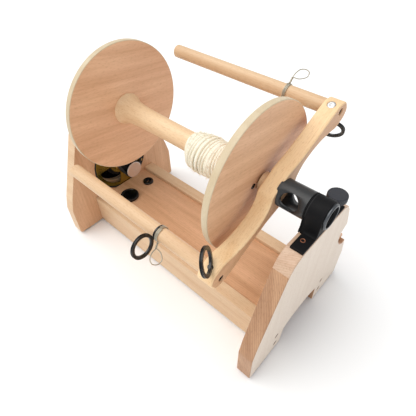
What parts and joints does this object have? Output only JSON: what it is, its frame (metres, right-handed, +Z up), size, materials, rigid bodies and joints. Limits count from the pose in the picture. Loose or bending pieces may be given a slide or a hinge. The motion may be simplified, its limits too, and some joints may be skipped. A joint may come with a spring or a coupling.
{
  "type": "electric yarn spinner",
  "caption": "Wooden tabletop electric spinner: a belt-driven bobbin inside a free two-armed flyer, with an orifice tube, sliding wire hooks, a brake knob and a speed knob.",
  "frame": {"origin": "centre of the bounding box on the table plane, under the spindle a little behind mid-length", "axes": "+Z up; +Y from the orifice towards the motor, along the spindle; +X to the right seen from the orifice"},
  "size_m": [0.318, 0.4734, 0.34],
  "materials": {
    "pale_wood": "satin varnished pale hardwood with fine straight grain",
    "brown_ply": "satin brown veneered panel",
    "rubber": "moulded black rubber",
    "dark_screw": "browned steel wood screw",
    "brown_wood": "oiled brown hardwood",
    "black_plastic": "black printed and moulded plastic, satin",
    "copper_screw": "copper coloured plated screw",
    "liner": "dark felt-like brake shoe",
    "steel": "ground steel",
    "dark_steel": "dark turned steel lip",
    "dowel": "sanded hardwood dowel",
    "black_screw": "black oxide socket screw",
    "chrome": "bright domed screw",
    "gloss_black": "polished black plastic",
    "wire": "grey spring wire",
    "disc_ply": "brown faced plywood disc with a pale edge",
    "bronze": "sintered bronze bush",
    "yarn": "soft undyed wool single",
    "belt": "round polyurethane drive belt, black",
    "zinc": "yellow passivated zinc with a green and violet sheen",
    "brass": "plain brass",
    "motor_black": "black painted steel can",
    "magnet": "grey ferrite",
    "armature": "laminated steel with copper windings",
    "pulley_face": "turned aluminium face",
    "green_board": "green solder mask",
    "lead": "insulated lead"
  },
  "bodies": {
    "stand": {"front_board": "pale_wood", "rear_board": "pale_wood", "left_rail": "pale_wood", "right_rail": "pale_wood", "floor_panel": "brown_ply", "rubber_feet": "rubber", "rail_screws": "dark_screw", "hook_rest": "brown_wood", "bearing_housing": "black_plastic", "housing_screw": "copper_screw", "brake_liner": "liner", "tension_stud": "steel", "tension_spring": "steel", "rear_bearing": "steel", "rear_bracket": "black_plastic", "bracket_screws": "dark_screw", "belt": "belt", "motor_plate": "zinc", "plate_gasket": "rubber", "plate_screws": "brass", "motor_can": "motor_black", "motor_magnets": "magnet", "motor_end_bell": "black_plastic", "motor_terminals": "brass", "rear_cover": "black_plastic", "cover_screws": "dark_screw", "control_case": "black_plastic", "circuit_board": "green_board", "board_posts": "brass", "speed_control": "steel", "power_inlet": "black_plastic", "inlet_nut": "gloss_black", "wiring": "lead"},
    "flyer": {"orifice_tube": "black_plastic", "orifice_collar": "dark_steel", "yoke": "pale_wood", "arm_upper": "dowel", "arm_lower": "dowel", "arm_screws": "black_screw", "ring_screws": "chrome", "yoke_rings": "gloss_black", "spindle": "steel", "spindle_spacer": "pale_wood", "spindle_collars": "steel"},
    "bobbin": {"bobbin_core": "pale_wood", "disc_front": "disc_ply", "disc_rear": "disc_ply", "disc_screws": "black_screw", "bobbin_bushes": "bronze", "whorl": "disc_ply", "yarn": "yarn"},
    "motor_rotor": {"motor_shaft": "steel", "motor_armature": "armature", "motor_pulley": "black_plastic", "pulley_cap": "pulley_face"},
    "upper_hook": {"hook_upper": "wire"},
    "lower_hook": {"hook_lower": "wire", "hook_ring": "gloss_black"},
    "tension_control": {"tension_knob": "black_plastic"},
    "speed_dial": {"speed_knob": "gloss_black"}
  },
  "joints": [
    {"name": "flyer_spin", "type": "hinge", "parent": "stand", "child": "flyer", "pos_m": [-0.00825, -0.13681, 0.24], "axis": [0, 1, 0], "continuous": true},
    {"name": "bobbin_spin", "type": "hinge", "parent": "stand", "child": "bobbin", "pos_m": [-0.00825, -0.13681, 0.24], "axis": [0, 1, 0], "continuous": true},
    {"name": "motor_spin", "type": "hinge", "parent": "stand", "child": "motor_rotor", "pos_m": [-0.00825, 0.14419, 0.107], "axis": [0, 1, 0], "continuous": true},
    {"name": "upper_hook_slide", "type": "slide", "parent": "flyer", "child": "upper_hook", "axis": [0, 1, 0], "range_m": [-0.05, 0.205]},
    {"name": "lower_hook_slide", "type": "slide", "parent": "flyer", "child": "lower_hook", "axis": [0, 1, 0], "range_m": [-0.072, 0.17]},
    {"name": "tension_turn", "type": "hinge", "parent": "stand", "child": "tension_control", "pos_m": [0.02625, -0.21981, 0.236], "axis": [0, 0, 1], "range_deg": [-360, 360]},
    {"name": "speed_turn", "type": "hinge", "parent": "stand", "child": "speed_dial", "pos_m": [-0.03085, 0.13719, 0.06], "axis": [0, 0, 1], "range_deg": [-140, 140]}
  ],
  "couplings": [
    {"joint": "motor_spin", "follows": "bobbin_spin", "ratio": 4.9262}
  ]
}
